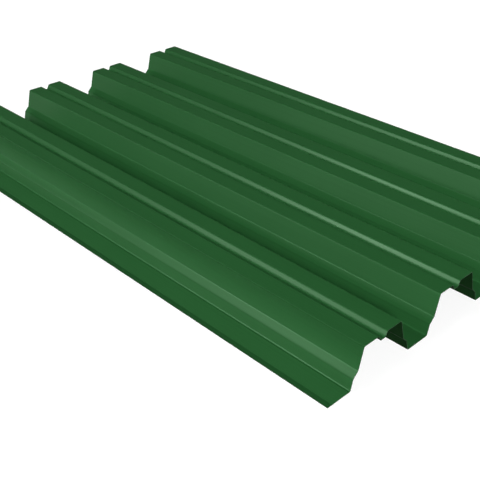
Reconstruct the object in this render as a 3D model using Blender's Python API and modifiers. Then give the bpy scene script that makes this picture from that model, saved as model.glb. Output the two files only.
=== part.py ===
# Profiled steel sheet: a trapezoidal roofing and decking sheet, roll-formed from one strip of
# coated coil. Four ribs run its whole length. Each crest has a stiffening groove, and each web
# has a step that stiffens it.
#
# Metres, +Z up. X runs along the ribs and Y across them. The origin is under the middle of the
# sheet, on the level that the troughs rest on. The section is symmetric about Y = 0.

import math

import bmesh
import bpy
from mathutils import Vector

# Strip
SHEET_LENGTH = 1.200  # cut length, along the ribs
SHEET_THICKNESS = 0.0008  # steel, zinc and paint together

# Section, given at the middle of the thickness where the flats would meet if the bends were sharp
RIB_COUNT = 4
RIB_PITCH = 0.1875  # four pitches cover 750 mm
RIB_DEPTH = 0.070  # over the outer faces of trough and crest
TROUGH_WIDTH = 0.050  # narrow flange, on the support
CREST_WIDTH = 0.0875  # wide flange, at the top
EDGE_FLANGE_WIDTH = 0.050  # side-lap flange, at each long edge

# Step in each web
STEP_HEIGHT = 0.020  # foot of the step above the trough
STEP_RISE = 0.010
STEP_RUN = 0.010

# Groove along the middle of each crest
GROOVE_WIDTH = 0.0205  # at the crest
GROOVE_FLOOR_WIDTH = 0.0105
GROOVE_DEPTH = 0.010

# Bends
BEND_RADIUS = 0.0025  # inside radius that the forming rolls leave
BEND_STEPS = 4  # straight facets in each bend

PAINT_COLOUR = (0.020, 0.091, 0.026, 1.0)  # leaf green, linear
PAINT_ROUGHNESS = 0.42


def web_rise():
    """Height from the trough's mid-surface to the crest's."""
    return RIB_DEPTH - SHEET_THICKNESS


def web_slope():
    """Run over rise of a web's plain parts, which share what the step leaves."""
    web_run = (RIB_PITCH - TROUGH_WIDTH - CREST_WIDTH) / 2
    return (web_run - STEP_RUN) / (web_rise() - STEP_RISE)


def half_rib():
    """Fold points (y, z) of a rib's left half, from the trough to the middle of its groove.

    y is measured from the rib's middle, and z from the trough's mid-surface.
    """
    crest_corner = -CREST_WIDTH / 2
    step_top = STEP_HEIGHT + STEP_RISE
    step_top_y = crest_corner - web_slope() * (web_rise() - step_top)
    step_foot_y = step_top_y - STEP_RUN
    trough_corner = step_foot_y - web_slope() * STEP_HEIGHT
    return [
        (trough_corner, 0.0),
        (step_foot_y, STEP_HEIGHT),
        (step_top_y, step_top),
        (crest_corner, web_rise()),
        (-GROOVE_WIDTH / 2, web_rise()),
        (-GROOVE_FLOOR_WIDTH / 2, web_rise() - GROOVE_DEPTH),
    ]


def fold_points():
    """Fold points (y, z) across the whole sheet, one long edge to the other."""
    left_half = half_rib()
    right_half = [(-y, z) for y, z in reversed(left_half)]
    points = []
    for rib in range(RIB_COUNT):
        middle = (rib - (RIB_COUNT - 1) / 2) * RIB_PITCH
        points += [(middle + y, z) for y, z in left_half + right_half]
    first_edge = (points[0][0] - EDGE_FLANGE_WIDTH, 0.0)
    last_edge = (points[-1][0] + EDGE_FLANGE_WIDTH, 0.0)
    return [first_edge, *points, last_edge]


def bend(before, corner, after):
    """Points of the arc that rounds one fold, tangent to the flats on both sides of it."""
    towards_before = (before - corner).normalized()
    towards_after = (after - corner).normalized()
    half_inside_angle = towards_before.angle(towards_after) / 2
    radius = BEND_RADIUS + SHEET_THICKNESS / 2
    tangent_length = radius / math.tan(half_inside_angle)
    bisector = (towards_before + towards_after).normalized()
    centre = corner + bisector * (radius / math.sin(half_inside_angle))
    start = corner + towards_before * tangent_length - centre
    turn = math.pi - 2 * half_inside_angle
    cross = towards_before.x * towards_after.y - towards_before.y * towards_after.x
    if cross > 0:
        turn = -turn
    arc = []
    for step in range(BEND_STEPS + 1):
        angle = turn * step / BEND_STEPS
        cosine, sine = math.cos(angle), math.sin(angle)
        arc.append(
            centre
            + Vector((start.x * cosine - start.y * sine, start.x * sine + start.y * cosine))
        )
    return arc


def section_line():
    """The section's mid-surface line, as (y, z) points with every fold rounded."""
    folds = [Vector(point) for point in fold_points()]
    line = [folds[0]]
    for before, corner, after in zip(folds, folds[1:], folds[2:]):
        line += bend(before, corner, after)
    line.append(folds[-1])
    return line


def painted_steel():
    """Coil-coated steel with a satin polyester paint."""
    material = bpy.data.materials.new("painted_steel")
    material.use_nodes = True
    shader = material.node_tree.nodes["Principled BSDF"]
    shader.inputs["Base Color"].default_value = PAINT_COLOUR
    shader.inputs["Roughness"].default_value = PAINT_ROUGHNESS
    shader.inputs["Metallic"].default_value = 0.0
    material.diffuse_color = PAINT_COLOUR
    return material


def roll_formed_sheet(collection):
    """The strip's mid-surface, drawn out along X from its section, then thickened both ways."""
    shape = bmesh.new()
    z_of_trough = SHEET_THICKNESS / 2
    row = [shape.verts.new((-SHEET_LENGTH / 2, p.x, p.y + z_of_trough)) for p in section_line()]
    edges = [shape.edges.new(pair) for pair in zip(row, row[1:])]
    drawn = bmesh.ops.extrude_edge_only(shape, edges=edges)
    far_row = [item for item in drawn["geom"] if isinstance(item, bmesh.types.BMVert)]
    bmesh.ops.translate(shape, verts=far_row, vec=(SHEET_LENGTH, 0.0, 0.0))
    bmesh.ops.recalc_face_normals(shape, faces=shape.faces)

    mesh = bpy.data.meshes.new("sheet")
    shape.to_mesh(mesh)
    shape.free()
    mesh.shade_smooth()
    mesh.materials.append(painted_steel())
    sheet = bpy.data.objects.new("sheet", mesh)
    collection.objects.link(sheet)

    wall = sheet.modifiers.new("wall", "SOLIDIFY")
    wall.thickness = SHEET_THICKNESS
    wall.offset = 0.0
    wall.use_even_offset = True
    wall.use_rim = True
    return sheet


def main():
    for old in list(bpy.data.objects):
        bpy.data.objects.remove(old, do_unlink=True)
    collection = bpy.data.collections.new("profiled_steel_sheet")
    bpy.context.scene.collection.children.link(collection)
    roll_formed_sheet(collection)


main()
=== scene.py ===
import math

import bpy
from mathutils import Matrix, Vector

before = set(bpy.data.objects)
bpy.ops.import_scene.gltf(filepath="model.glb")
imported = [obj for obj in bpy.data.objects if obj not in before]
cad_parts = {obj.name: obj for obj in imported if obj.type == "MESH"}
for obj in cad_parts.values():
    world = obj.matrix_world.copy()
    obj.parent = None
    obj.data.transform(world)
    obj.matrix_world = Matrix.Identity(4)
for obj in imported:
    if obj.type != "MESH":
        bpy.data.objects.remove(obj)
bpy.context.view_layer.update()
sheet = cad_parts["sheet"]
scene = bpy.context.scene
print("loaded the sheet")


# camera

cameraSetup = {
    "place": (1.1631, -1.1000, 0.8320),
    "aim": (0.2180, -0.2073, 0.0300),
    "roll": -0.53,  # degrees about the line of sight
    "lens": 62.98,  # mm, on the default 36 mm sensor
    "clipEnd": 200,
}


def addCamera(setup):
    camera = bpy.data.objects.new("camera", bpy.data.cameras.new("camera"))
    scene.collection.objects.link(camera)
    camera.data.lens = setup["lens"]
    camera.data.clip_end = setup["clipEnd"]
    place = Vector(setup["place"])
    look = (Vector(setup["aim"]) - place).to_track_quat("-Z", "Y").to_matrix().to_4x4()
    roll = Matrix.Rotation(math.radians(setup["roll"]), 4, "Z")
    camera.matrix_world = Matrix.Translation(place) @ look @ roll
    scene.camera = camera


addCamera(cameraSetup)
print("placed the camera")


# node helpers, used for the floor, the world and the paint

def feed(tree, socket, value):
    if isinstance(value, bpy.types.NodeSocket):
        tree.links.new(value, socket)
    else:
        socket.default_value = value


def mathNode(tree, operation, *values):
    node = tree.nodes.new("ShaderNodeMath")
    node.operation = operation
    for socket, value in zip(node.inputs, values):
        feed(tree, socket, value)
    return node.outputs[0]


def vectorNode(tree, operation, *values):
    node = tree.nodes.new("ShaderNodeVectorMath")
    node.operation = operation
    for socket, value in zip(node.inputs, values):
        feed(tree, socket, value)
    return node.outputs["Value" if operation in ("LENGTH", "DISTANCE") else "Vector"]


def rangeNode(tree, value, start, end, low=0.0, high=1.0, curve="SMOOTHSTEP"):
    node = tree.nodes.new("ShaderNodeMapRange")
    node.interpolation_type = curve
    sockets = ("Value", "From Min", "From Max", "To Min", "To Max")
    for name, number in zip(sockets, (value, start, end, low, high)):
        feed(tree, node.inputs[name], number)
    return node.outputs["Result"]


def splitVector(tree, vector):
    node = tree.nodes.new("ShaderNodeSeparateXYZ")
    tree.links.new(vector, node.inputs[0])
    return node.outputs["X"], node.outputs["Y"], node.outputs["Z"]


def seenByReflection(tree, rays):
    return mathNode(tree, "MAXIMUM", rays["Is Glossy Ray"], rays["Is Transmission Ray"])


# floor

paleFloor = {
    "size": 8.0,
    "drop": 0.0004,  # keeps it just clear of the troughs
    "colour": (0.55, 0.55, 0.55, 1),
    "glow": 0.52,  # what a camera or a reflection sees on top of the lit colour
    "farGlow": 1.0,  # the same, away from the sheet, where the lamps fade
    "fade": (0.9, 2.4),  # m from the middle, from the first glow to the second
}


def addFloor(setup):
    bpy.ops.mesh.primitive_plane_add(size=setup["size"], location=(0, 0, -setup["drop"]))
    floor = bpy.context.object
    floor.name = "floor"
    material = bpy.data.materials.new("paleFloor")
    material.use_nodes = True
    tree = material.node_tree
    tree.nodes.clear()
    rays = tree.nodes.new("ShaderNodeLightPath").outputs
    away = vectorNode(tree, "LENGTH", tree.nodes.new("ShaderNodeTexCoord").outputs["Object"])
    seen = mathNode(tree, "MAXIMUM", rays["Is Camera Ray"], seenByReflection(tree, rays))
    glow = rangeNode(tree, away, *setup["fade"], setup["glow"], setup["farGlow"])
    light = tree.nodes.new("ShaderNodeEmission")
    feed(tree, light.inputs["Strength"], mathNode(tree, "MULTIPLY", seen, glow))
    diffuse = tree.nodes.new("ShaderNodeBsdfDiffuse")
    diffuse.inputs["Color"].default_value = setup["colour"]
    both = tree.nodes.new("ShaderNodeAddShader")
    tree.links.new(diffuse.outputs["BSDF"], both.inputs[0])
    tree.links.new(light.outputs["Emission"], both.inputs[1])
    output = tree.nodes.new("ShaderNodeOutputMaterial")
    tree.links.new(both.outputs[0], output.inputs["Surface"])
    floor.data.materials.append(material)


addFloor(paleFloor)
print("laid the floor")


# lamps

def aroundSheet(azimuth, elevation, distance):
    turn, lift = math.radians(azimuth), math.radians(elevation)
    flat = distance * math.cos(lift)
    return Vector((flat * math.cos(turn), flat * math.sin(turn), distance * math.sin(lift)))


# the back lamp lifts the far sides without a glare on the crests,
# and only the gloss of the paint shows the sheen lamp
lamps = {
    "fill": {"place": aroundSheet(-43.4, 31.7, 10.0), "size": 2.4, "power": 1240.0},
    "back": {"place": aroundSheet(100.0, 25.0, 10.0), "size": 3.0, "power": 520.0, "onGloss": False},
    "key": {"place": (-1.5, -3.4, 1.50), "size": 0.16, "power": 35.5},
    "sheen": {"place": (-1.5, -3.4, 1.50), "size": 0.6, "power": 500.0, "onColour": False},
}


def addLamp(name, place, size, power, onColour=True, onGloss=True):
    lamp = bpy.data.objects.new(name, bpy.data.lights.new(name, "AREA"))
    scene.collection.objects.link(lamp)
    lamp.data.shape = "DISK"
    lamp.data.size = size
    lamp.data.energy = power
    lamp.location = place
    lamp.rotation_euler = (-Vector(place)).to_track_quat("-Z", "Y").to_euler()
    lamp.visible_diffuse = onColour
    lamp.visible_glossy = onGloss


for lampName, lampSetup in lamps.items():
    addLamp(lampName, **lampSetup)
print("hung the lamps")


# world

whiteWorld = {
    "level": 0.12,  # the light that it gives the sheet
    "wallTop": (0.02, 0.08),  # reflections see it white up to here, as height over distance
}


def addWorld(setup):
    world = bpy.data.worlds.new("studio")
    scene.world = world
    world.use_nodes = True
    tree = world.node_tree
    background = tree.nodes["Background"]
    background.inputs["Color"].default_value = (1, 1, 1, 1)
    rays = tree.nodes.new("ShaderNodeLightPath").outputs
    height = splitVector(tree, tree.nodes.new("ShaderNodeTexCoord").outputs["Generated"])[2]
    below = rangeNode(tree, height, *setup["wallTop"], 1.0, 0.0)
    wall = mathNode(tree, "MULTIPLY", seenByReflection(tree, rays), below)
    seen = mathNode(tree, "MAXIMUM", rays["Is Camera Ray"], wall)
    strength = mathNode(tree, "MULTIPLY_ADD", seen, 1 - setup["level"], setup["level"])
    tree.links.new(strength, background.inputs["Strength"])


addWorld(whiteWorld)
scene.view_settings.view_transform = "Standard"
print("lit the world")


# shading of the bends

bendShading = {
    "weldDistance": 0.00001,
    "sharpAngle": 40.0,  # degrees; only the cut edges turn more than this
    "flatFaceLead": 100,  # how far the flats set the normals of the bends beside them
}


def smoothBends(values):
    tree = bpy.data.node_groups.new("smoothBends", "GeometryNodeTree")
    tree.interface.new_socket("Geometry", in_out="INPUT", socket_type="NodeSocketGeometry")
    tree.interface.new_socket("Geometry", in_out="OUTPUT", socket_type="NodeSocketGeometry")
    nodes, links = tree.nodes, tree.links
    start = nodes.new("NodeGroupInput")
    end = nodes.new("NodeGroupOutput")
    weld = nodes.new("GeometryNodeMergeByDistance")
    weld.inputs["Distance"].default_value = values["weldDistance"]
    plain = nodes.new("GeometryNodeRemoveAttribute")
    plain.inputs["Name"].default_value = "custom_normal"
    faces = nodes.new("GeometryNodeSetShadeSmooth")
    faces.domain = "FACE"
    turn = nodes.new("GeometryNodeInputMeshEdgeAngle")
    soft = nodes.new("FunctionNodeCompare")
    soft.data_type = "FLOAT"
    soft.operation = "LESS_THAN"
    soft.inputs[1].default_value = math.radians(values["sharpAngle"])
    edges = nodes.new("GeometryNodeSetShadeSmooth")
    edges.domain = "EDGE"
    links.new(start.outputs[0], weld.inputs["Geometry"])
    links.new(weld.outputs["Geometry"], plain.inputs["Geometry"])
    links.new(plain.outputs["Geometry"], faces.inputs["Geometry"])
    links.new(faces.outputs["Geometry"], edges.inputs["Geometry"])
    links.new(turn.outputs["Unsigned Angle"], soft.inputs[0])
    links.new(soft.outputs["Result"], edges.inputs["Shade Smooth"])
    links.new(edges.outputs["Geometry"], end.inputs[0])
    smooth = sheet.modifiers.new("smoothBends", "NODES")
    smooth.node_group = tree
    weigh = sheet.modifiers.new("flatFacesLead", "WEIGHTED_NORMAL")
    weigh.mode = "FACE_AREA"
    weigh.weight = values["flatFaceLead"]
    weigh.keep_sharp = True


smoothBends(bendShading)
print("smoothed the bends")


# group helpers

def newGroup(name, inputs, outputs):
    tree = bpy.data.node_groups.new(name, "ShaderNodeTree")
    for direction, sockets in (("INPUT", inputs), ("OUTPUT", outputs)):
        for label, kind in sockets.items():
            tree.interface.new_socket(label, in_out=direction, socket_type="NodeSocket" + kind)
    return tree, tree.nodes.new("NodeGroupInput").outputs, tree.nodes.new("NodeGroupOutput").inputs


def useGroup(tree, group, inputs):
    node = tree.nodes.new("ShaderNodeGroup")
    node.node_tree = group
    for name, value in inputs.items():
        feed(tree, node.inputs[name], value)
    return node.outputs


def mixColour(tree, share, first, second):
    node = tree.nodes.new("ShaderNodeMix")
    node.data_type = "RGBA"
    sockets = {socket.identifier: socket for socket in node.inputs}
    for name, value in (("Factor_Float", share), ("A_Color", first), ("B_Color", second)):
        feed(tree, sockets[name], value)
    return next(socket for socket in node.outputs if socket.identifier == "Result_Color")


# grain that the rolling leaves: peel, a slow wave, streaks along the sheet and a mottle

rolledGrain = {  # along: a noise's scale along the sheet against across it
    "peel": {"scale": 620.0, "detail": 2, "along": 1.0},
    "wave": {"scale": 7.0, "detail": 1, "along": 0.5},
    "streaks": {"scale": 340.0, "detail": 3, "along": 0.004},
    "mottle": {"scale": 11.0, "detail": 4, "along": 0.6},
    "peelHeight": 0.000008,
    "waveHeight": 0.00050,
    "streakBand": (0.35, 0.65),  # from no streak to a full one, in the noise's own levels
    "mottleBand": (0.32, 0.68),
}


def stretchedNoise(tree, place, scale, detail, along):
    node = tree.nodes.new("ShaderNodeTexNoise")
    tree.links.new(vectorNode(tree, "MULTIPLY", place, (along, 1, 1)), node.inputs["Vector"])
    node.inputs["Scale"].default_value = scale
    node.inputs["Detail"].default_value = detail
    return node.outputs["Fac"]


def grainGroup(values):
    outputs = {"Height": "Float", "Streaks": "Float", "Mottle": "Float"}
    tree, start, end = newGroup("rolledGrain", {"Place": "Vector"}, outputs)
    noise = {name: stretchedNoise(tree, start["Place"], **values[name])
             for name in ("peel", "wave", "streaks", "mottle")}
    peel = mathNode(tree, "MULTIPLY", noise["peel"], values["peelHeight"])
    height = mathNode(tree, "MULTIPLY_ADD", noise["wave"], values["waveHeight"], peel)
    feed(tree, end["Height"], height)
    feed(tree, end["Streaks"], rangeNode(tree, noise["streaks"], *values["streakBand"]))
    feed(tree, end["Mottle"], rangeNode(tree, noise["mottle"], *values["mottleBand"]))
    return tree


# lines that run along the sheet

section = {  # m; each line is given by its place from the middle of a rib and its height
    "pitch": 0.1875,
    "innerFolds": ((0.00525, 0.060), (0.05368, 0.030), (0.06875, 0.0008)),
    "outerFolds": ((0.01025, 0.070), (0.04375, 0.070), (0.06368, 0.020)),
    "rollerTracks": ((0.0160, 0.070), (0.0375, 0.070), (0.0480, 0.053), (0.0800, 0.0008)),
    "lineCore": 0.4,  # share of a line's width where it is at full strength
}


def linesGroup(name, values):
    tree, start, end = newGroup(name, {"Place": "Vector", "Width": "Float"}, {"Mask": "Float"})
    across, height = splitVector(tree, start["Place"])[1:]
    halfPitch = values["pitch"] / 2
    fromRib = mathNode(tree, "PINGPONG", mathNode(tree, "ADD", across, halfPitch), halfPitch)
    flat = tree.nodes.new("ShaderNodeCombineXYZ")
    feed(tree, flat.inputs["X"], fromRib)
    feed(tree, flat.inputs["Y"], height)
    distances = [vectorNode(tree, "DISTANCE", flat.outputs[0], (*line, 0)) for line in values[name]]
    nearest = distances[0]
    for distance in distances[1:]:
        nearest = mathNode(tree, "MINIMUM", nearest, distance)
    core = mathNode(tree, "MULTIPLY", start["Width"], values["lineCore"])
    feed(tree, end["Mask"], rangeNode(tree, nearest, start["Width"], core))
    return tree


# underside, cut edges and distance from the long edges

sheetSides = {
    "halfWidth": 0.4,
    "endFacing": 0.5,  # a cut end faces along the sheet by more than this
    "edgeFacing": 0.9,  # a long cut edge faces sideways by more than this
    "edgeReach": 0.0002,  # and lies this close to the sheet's full width
}


def sidesGroup(values):
    outputs = {"Underside": "Float", "Cut": "Float", "From Edge": "Float"}
    tree, start, end = newGroup("sheetSides", {"Place": "Vector", "Facing": "Vector"}, outputs)
    along, sideways, upwards = splitVector(tree, start["Facing"])
    across = mathNode(tree, "ABSOLUTE", splitVector(tree, start["Place"])[1])
    fromEdge = mathNode(tree, "SUBTRACT", values["halfWidth"], across)
    endCut = mathNode(tree, "GREATER_THAN", mathNode(tree, "ABSOLUTE", along), values["endFacing"])
    turned = mathNode(tree, "GREATER_THAN", mathNode(tree, "ABSOLUTE", sideways), values["edgeFacing"])
    outermost = mathNode(tree, "LESS_THAN", fromEdge, values["edgeReach"])
    longCut = mathNode(tree, "MULTIPLY", turned, outermost)
    feed(tree, end["Underside"], mathNode(tree, "LESS_THAN", upwards, 0))
    feed(tree, end["Cut"], mathNode(tree, "MAXIMUM", endCut, longCut))
    feed(tree, end["From Edge"], fromEdge)
    return tree


# bow of the flats next to the long edges: it tilts their shading only, and the mesh stays flat

edgeBow = {  # m, counted from the edge; tuned to the flats' colours in the photo, not a measured shape
    "flangeSlope": 0.42,
    "flange": (0.0095, 0.046),
    "webDish": 0.0095,
    "web": (0.0660, 0.0752),  # from just above the step of the outer web to the edge of its crest
    "webCurve": 2.0,  # power of its height; 2 turns the web evenly
}


def bowGroup(values):
    tree, start, end = newGroup("edgeBow", {"From Edge": "Float"}, {"Height": "Float"})
    flange = tree.nodes.new("ShaderNodeClamp")
    feed(tree, flange.inputs["Value"], start["From Edge"])
    flange.inputs["Min"].default_value, flange.inputs["Max"].default_value = values["flange"]
    fall = mathNode(tree, "MULTIPLY", flange.outputs[0], values["flangeSlope"])
    web = rangeNode(tree, start["From Edge"], *values["web"], curve="LINEAR")
    dish = mathNode(tree, "POWER", web, values["webCurve"])
    feed(tree, end["Height"], mathNode(tree, "MULTIPLY_ADD", dish, values["webDish"], fall))
    return tree


# paint

coilCoat = {
    "colour": (0.0153, 0.0790, 0.0211, 1),
    "mottleColour": (0.0130, 0.0700, 0.0182, 1),
    "mottleShare": 0.5,
    "streakColour": (0.0168, 0.0850, 0.0232, 1),
    "streakShare": 0.5,
    "trackColour": (0.0132, 0.0705, 0.0185, 1),
    "trackShare": 0.5,
    "trackWidth": 0.0014,
    "innerFoldHighlightColour": (0.0180, 0.0880, 0.0250, 1),  # a little paler, as a painted highlight along the inner folds
    "outerFoldShadeColour": (0.0132, 0.0700, 0.0185, 1),  # darker, as painted shade that damps the highlight on the outer folds, and duller
    "foldShare": 0.7,
    "foldWidth": 0.0028,
    "outerFoldDulling": 0.26,
    # painted shade: a darker strip along each long edge of the flange
    "edgeShadeColour": (0.0128, 0.0690, 0.0180, 1),
    "edgeShadeFade": (0.0110, 0.0080),  # m from the edge, from none of this painted shade to its full strength
    "roughness": 0.395,
    "streakRoughness": 0.05,
    "specular": 0.07,
    "specularTint": (0.60, 1.0, 0.65, 1),
}

# the underside's green coat, made far darker than the top as painted shade for the shade under the sheet
backingCoatAndShade = {
    "colour": (0.0022, 0.0160, 0.0026, 1),
    "mottleColour": (0.0034, 0.0205, 0.0040, 1),
    "roughness": 0.90,
}

cutEdge = {
    "colour": (0.0090, 0.0380, 0.0120, 1),
    "steelColour": (0.0700, 0.0800, 0.0740, 1),
    "steelShare": 0.4,
    "roughness": 0.55,
}


def paintedSheet(face, back, cut):
    material = bpy.data.materials.new("leafGreenCoilCoat")
    material.use_nodes = True
    tree = material.node_tree
    shader = tree.nodes["Principled BSDF"]
    place = tree.nodes.new("ShaderNodeTexCoord").outputs["Object"]
    facing = tree.nodes.new("ShaderNodeNewGeometry").outputs["True Normal"]

    grain = useGroup(tree, grainGroup(rolledGrain), {"Place": place})
    sides = useGroup(tree, sidesGroup(sheetSides), {"Place": place, "Facing": facing})
    lines = {}
    for name, width in (("innerFolds", face["foldWidth"]), ("outerFolds", face["foldWidth"]),
                        ("rollerTracks", face["trackWidth"])):
        group = linesGroup(name, section)
        lines[name] = useGroup(tree, group, {"Place": place, "Width": width})["Mask"]
    # painted shade along each long edge, by distance from it
    edgeShade = rangeNode(tree, sides["From Edge"], *face["edgeShadeFade"])

    # the paler inner folds are a painted highlight, and the darker outer folds are painted shade
    colour = face["colour"]
    for mask, share, other in ((grain["Mottle"], face["mottleShare"], face["mottleColour"]),
                               (grain["Streaks"], face["streakShare"], face["streakColour"]),
                               (lines["rollerTracks"], face["trackShare"], face["trackColour"]),
                               (lines["innerFolds"], face["foldShare"], face["innerFoldHighlightColour"]),
                               (lines["outerFolds"], face["foldShare"], face["outerFoldShadeColour"])):
        colour = mixColour(tree, mathNode(tree, "MULTIPLY", mask, share), colour, other)
    # painted shade: darker along each long edge
    colour = mixColour(tree, edgeShade, colour, face["edgeShadeColour"])
    # underside: its coat darkened as painted shade
    backingAndShade = mixColour(tree, grain["Mottle"], back["colour"], back["mottleColour"])
    steel = mathNode(tree, "MULTIPLY", grain["Streaks"], cut["steelShare"])
    sheared = mixColour(tree, steel, cut["colour"], cut["steelColour"])
    twoSided = mixColour(tree, sides["Underside"], colour, backingAndShade)
    feed(tree, shader.inputs["Base Color"], mixColour(tree, sides["Cut"], twoSided, sheared))

    dullness = mathNode(tree, "MULTIPLY_ADD", grain["Streaks"], face["streakRoughness"], face["roughness"])
    dullness = mathNode(tree, "MULTIPLY_ADD", lines["outerFolds"], face["outerFoldDulling"], dullness)
    for mask, level in ((sides["Underside"], back["roughness"]), (sides["Cut"], cut["roughness"])):
        change = mathNode(tree, "SUBTRACT", level, dullness)
        dullness = mathNode(tree, "MULTIPLY_ADD", mask, change, dullness)
    feed(tree, shader.inputs["Roughness"], dullness)
    shader.inputs["Specular IOR Level"].default_value = face["specular"]
    shader.inputs["Specular Tint"].default_value = face["specularTint"]

    bow = useGroup(tree, bowGroup(edgeBow), {"From Edge": sides["From Edge"]})
    bump = tree.nodes.new("ShaderNodeBump")
    bump.inputs["Distance"].default_value = 1.0  # the heights are in metres
    feed(tree, bump.inputs["Height"], mathNode(tree, "ADD", grain["Height"], bow["Height"]))
    tree.links.new(bump.outputs["Normal"], shader.inputs["Normal"])
    return material


sheet.data.materials.clear()
sheet.data.materials.append(paintedSheet(coilCoat, backingCoatAndShade, cutEdge))
print("painted the sheet")
